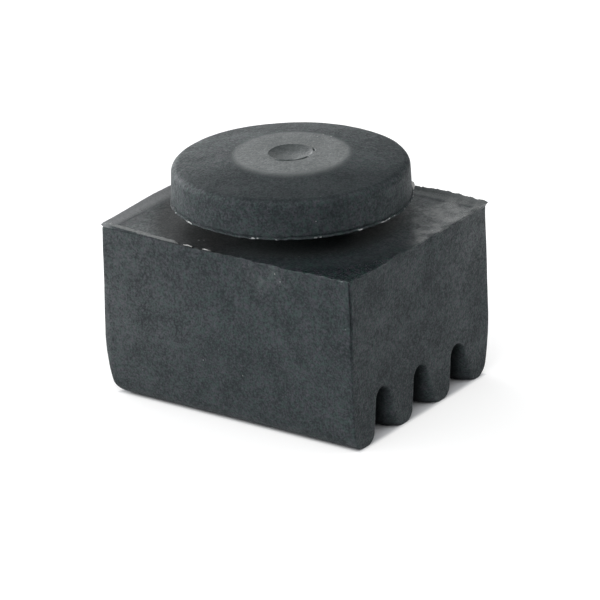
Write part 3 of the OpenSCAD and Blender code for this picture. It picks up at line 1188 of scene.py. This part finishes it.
def dust_and_sheen_mask(g, skin, groove):
    """The pale haze on the faces, partly dust and partly painted light, which leaves out the block's
    top and the grooves.
    """
    heel = g.times(g.fall(skin.x, *HAZE_X), g.ramp(skin.z, *HAZE_LOW), g.ramp(skin.z, *HAZE_HIGH))
    # A painted sheen on the heel's rounded upright edge, low down.
    dust_and_sheen = g.plus(heel, g.times(g.fall(skin.x, *HEEL_SHEEN), g.fall(skin.z, *HEEL_SHEEN_UP)))
    corner = g.times(
        g.ramp(skin.y, *HAZE_CORNER_Y), g.ramp(skin.z, *HAZE_CORNER_UP), g.ramp(skin.x, *HAZE_CORNER_X)
    )
    spot = g.times(g.fall(skin.distance(g, HAZE_SPOT), *HAZE_SPOT_REACH), skin.patches)
    dust_and_sheen = g.most(g.most(dust_and_sheen, corner), spot)
    return g.times(dust_and_sheen, g.less(1.0, g.most(groove, skin.top)), g.ramp(skin.tone, *HAZE_THICK))


def rough_skin(g, skin, land, shaded_near_dome, groove):
    """The rubber's roughness."""
    worn = g.times(skin.patches, g.ramp(skin.across, *POLISH_WORN))
    polish = g.times(skin.top, g.ramp(skin.away, *POLISH), g.less(1.0, worn))
    rough = g.less(g.less(g.ramp(skin.tone, *ROUGH), g.times(land, LAND_GLOSS)), polish)
    return g.plus(rough, g.times(shaded_near_dome, SHADED_DOME_ROUGH), g.times(groove, GROOVE_ROUGH))


def bumps(g, skin):
    """Shallow bumps of the mottle and the grain, weaker on the block's smooth top."""
    normal = None
    for height, deep, strength in (
        (skin.mottle, MOTTLE_DEEP, MOTTLE_STRENGTH),
        (skin.grain, GRAIN_DEEP, GRAIN_STRENGTH),
    ):
        bump = g.add("ShaderNodeBump")
        g.link(g.ramp(skin.top, 0.0, 1.0, *strength), bump.inputs["Strength"])
        bump.inputs["Distance"].default_value = deep * MM
        g.link(height, bump.inputs["Height"])
        if normal:
            g.link(normal, bump.inputs["Normal"])
        normal = bump.outputs[0]
    return normal


def rubber():
    """Black rubber with a fine grain, dust, a greyer land on the head and torn, paler flash, and
    painted shade, light and glints in places.
    """
    material = bpy.data.materials.new("moulded_rubber")
    g = Graph(material)
    shader = g.nodes["Principled BSDF"]
    skin = Skin(g)
    light = g.mix(g.ramp(g.noise(skin.place, *HUE), *HUE_FADE), RUBBER_GREEN, RUBBER_GREY)
    colour = g.mix(g.ramp(skin.tone, *TONE_FADE), RUBBER_DARK, light)

    land = land_mask(g, skin)
    # Painted shade on the near part of the dome, above the rim.
    shaded_near_dome = g.times(g.ramp(skin.near, *SHADED_DOME_NEAR), g.ramp(skin.z, *SHADED_DOME_UP), SHADED_DOME_DARK)
    colour = g.mix(shaded_near_dome, colour, RUBBER_DARK)
    colour = g.mix(land, colour, g.mix(g.ramp(skin.tone, *TONE_FADE), LAND_DARK, LAND_LIGHT))
    colour = g.mix(g.times(land, g.ramp(skin.near, *LAND_NEAR_PALE_FADE), LAND_NEAR_PALE), colour, DUST)
    colour = dimple_colour(g, skin, colour)
    colour = top_colour(g, skin, colour)
    colour = torn_colour(g, skin, colour)
    groove = groove_shade_mask(g, skin)
    # Painted shade inside the grooves.
    colour = g.mix(groove, colour, PAINTED_SHADE_DARK)
    colour = g.mix(g.times(speck_mask(g, skin), SPECK_LIGHT), colour, DUST)
    # Dust, and painted light on the faces, with a painted sheen on the heel's rounded edge.
    colour = g.mix(dust_and_sheen_mask(g, skin, groove), colour, DUST)

    g.link(colour, shader.inputs["Base Color"])
    g.link(rough_skin(g, skin, land, shaded_near_dome, groove), shader.inputs["Roughness"])
    g.link(bumps(g, skin), shader.inputs["Normal"])
    shader.inputs["IOR"].default_value = RUBBER_IOR
    shader.inputs["Specular IOR Level"].default_value = SPECULAR
    shader.inputs["Specular Tint"].default_value = (*SPECULAR_TINT, 1)
    return material


# Stage, lights and camera.

# The paper floor: its colour, the colour and strength of the glow that only the camera and
# reflections see, and half its size in metres.
PAPER = (0.62, 0.63, 0.65)
PAPER_ROUGH = 0.9
GLOW = (1.0, 0.985, 0.95)
FLOOR_GLOW = 0.46
FLOOR_HALF = 12.0

# The floor has no glow under the block: where the glow sets in outside the block's outline, in
# millimetres, and how far the outline is shifted along X and drawn in at the two sides.
GLOW_FADE = (-0.3, 0.5)
GLOW_SHIFT = 0.4
GLOW_IN = 0.8

# The soft lights around the stage: azimuth and height in degrees, how tightly each gathers,
# and its strength.
SOFT_LIGHTS = (
    (296, 0, 4.5, 4.0),
    (249, 8, 8.3, 4.0),
    (15, 55, 12.0, 3.5),
    (132, 54, 11.9, 2.6),
)


def floor_material():
    """White paper that the camera sees as bright as the ground it stands for, with the cap's
    shadow kept. Under the block the paper has no brightness of its own."""
    material = bpy.data.materials.new("white_floor")
    g = Graph(material)
    shader = g.nodes["Principled BSDF"]
    shader.inputs["Base Color"].default_value = (*PAPER, 1)
    shader.inputs["Roughness"].default_value = PAPER_ROUGH
    shader.inputs["Specular IOR Level"].default_value = 0.0
    path = g.add("ShaderNodeLightPath")
    seen = g.most(path.outputs["Is Camera Ray"], path.outputs["Is Glossy Ray"])
    seen = g.most(seen, path.outputs["Is Transmission Ray"])
    axes = g.add("ShaderNodeSeparateXYZ")
    g.link(g.add("ShaderNodeTexCoord").outputs["Object"], axes.inputs[0])
    shifted = g.math("ABSOLUTE", g.less(axes.outputs[0], GLOW_SHIFT * MM))
    beyond_end = g.less(shifted, (HALF_L - GLOW_SHIFT) * MM)
    beyond_side = g.less(g.math("ABSOLUTE", axes.outputs[1]), (HALF_W - GLOW_IN) * MM)
    outside = g.ramp(g.most(beyond_end, beyond_side), *(edge * MM for edge in GLOW_FADE))
    shader.inputs["Emission Color"].default_value = (*GLOW, 1)
    g.link(g.times(seen, outside, FLOOR_GLOW), shader.inputs["Emission Strength"])
    return material


def floor():
    """The paper that the cap stands on."""
    shell = Shell()
    size = FLOOR_HALF / MM
    corners = [(-size, -size, 0), (size, -size, 0), (size, size, 0), (-size, size, 0)]
    shell.faces.append(tuple(shell.add(corners)))
    piece = shell.build("floor", floor_material())


def world():
    """Soft light from a few sides."""
    surroundings = bpy.data.worlds.new("surroundings")
    bpy.context.scene.world = surroundings
    g = Graph(surroundings)
    direction = g.add("ShaderNodeVectorMath", operation="NORMALIZE")
    g.link(g.add("ShaderNodeTexCoord").outputs["Generated"], direction.inputs[0])
    total = None
    for azimuth, height, gather, strength in SOFT_LIGHTS:
        facing = g.add("ShaderNodeVectorMath", operation="DOT_PRODUCT")
        g.link(direction.outputs[0], facing.inputs[0])
        facing.inputs[1].default_value = towards(azimuth, height)
        off = g.times(g.less(facing.outputs["Value"], 1.0), gather)
        light = g.times(g.math("EXPONENT", off), strength)
        total = light if total is None else g.plus(total, light)
    ground = g.nodes["Background"]
    ground.inputs["Color"].default_value = (1, 1, 1, 1)
    g.link(total, ground.inputs["Strength"])


def towards(azimuth, height):
    """The direction to a place at an azimuth and a height in degrees. Azimuth 0 is in front,
    90 at the right."""
    azimuth, height = math.radians(azimuth), math.radians(height)
    level = math.cos(height)
    return Vector((math.sin(azimuth) * level, -math.cos(azimuth) * level, math.sin(height)))


# The camera's place: azimuth, height above the horizon and roll in degrees, distance in
# millimetres, focal length in pixels of the 600 pixel frame, and the pixels by which the
# cap's origin lies right of and below the middle of the frame.
CAMERA_AZIMUTH = 35.529
CAMERA_ELEVATION = 21.986
CAMERA_ROLL = 1.893
CAMERA_DISTANCE = 396.405
FOCAL_PIXELS = 4500.0
ORIGIN_RIGHT = -0.90
ORIGIN_BELOW = 81.993
FRAME_PIXELS = 600
SENSOR = 36.0
CLIP_NEAR = 0.01
CLIP_FAR = 20


def camera():
    """The photograph's camera."""
    roll = math.radians(CAMERA_ROLL)
    back = towards(CAMERA_AZIMUTH, CAMERA_ELEVATION)
    right = towards(CAMERA_AZIMUTH + 90, 0)
    up = back.cross(right)
    across = math.cos(roll) * right - math.sin(roll) * up
    upright = math.sin(roll) * right + math.cos(roll) * up
    pixel = CAMERA_DISTANCE / FOCAL_PIXELS
    place = back * CAMERA_DISTANCE - across * ORIGIN_RIGHT * pixel + upright * ORIGIN_BELOW * pixel
    lens = bpy.data.cameras.new("camera")
    lens.sensor_fit = "HORIZONTAL"
    lens.sensor_width = SENSOR
    lens.lens = FOCAL_PIXELS / FRAME_PIXELS * SENSOR
    lens.clip_start = CLIP_NEAR
    lens.clip_end = CLIP_FAR
    view = bpy.data.objects.new("camera", lens)
    turn = Matrix((across, upright, back)).transposed()
    view.matrix_world = Matrix.Translation(place * MM) @ turn.to_4x4()
    bpy.context.scene.collection.objects.link(view)
    bpy.context.scene.camera = view


camera()
rubber_material = rubber()
body = cap_body(rubber_material)
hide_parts("rubber_cap")
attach(body, "root")
fins = flash(rubber_material)
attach(fins, "root")
floor()
world()
bpy.context.scene.view_settings.view_transform = "Standard"
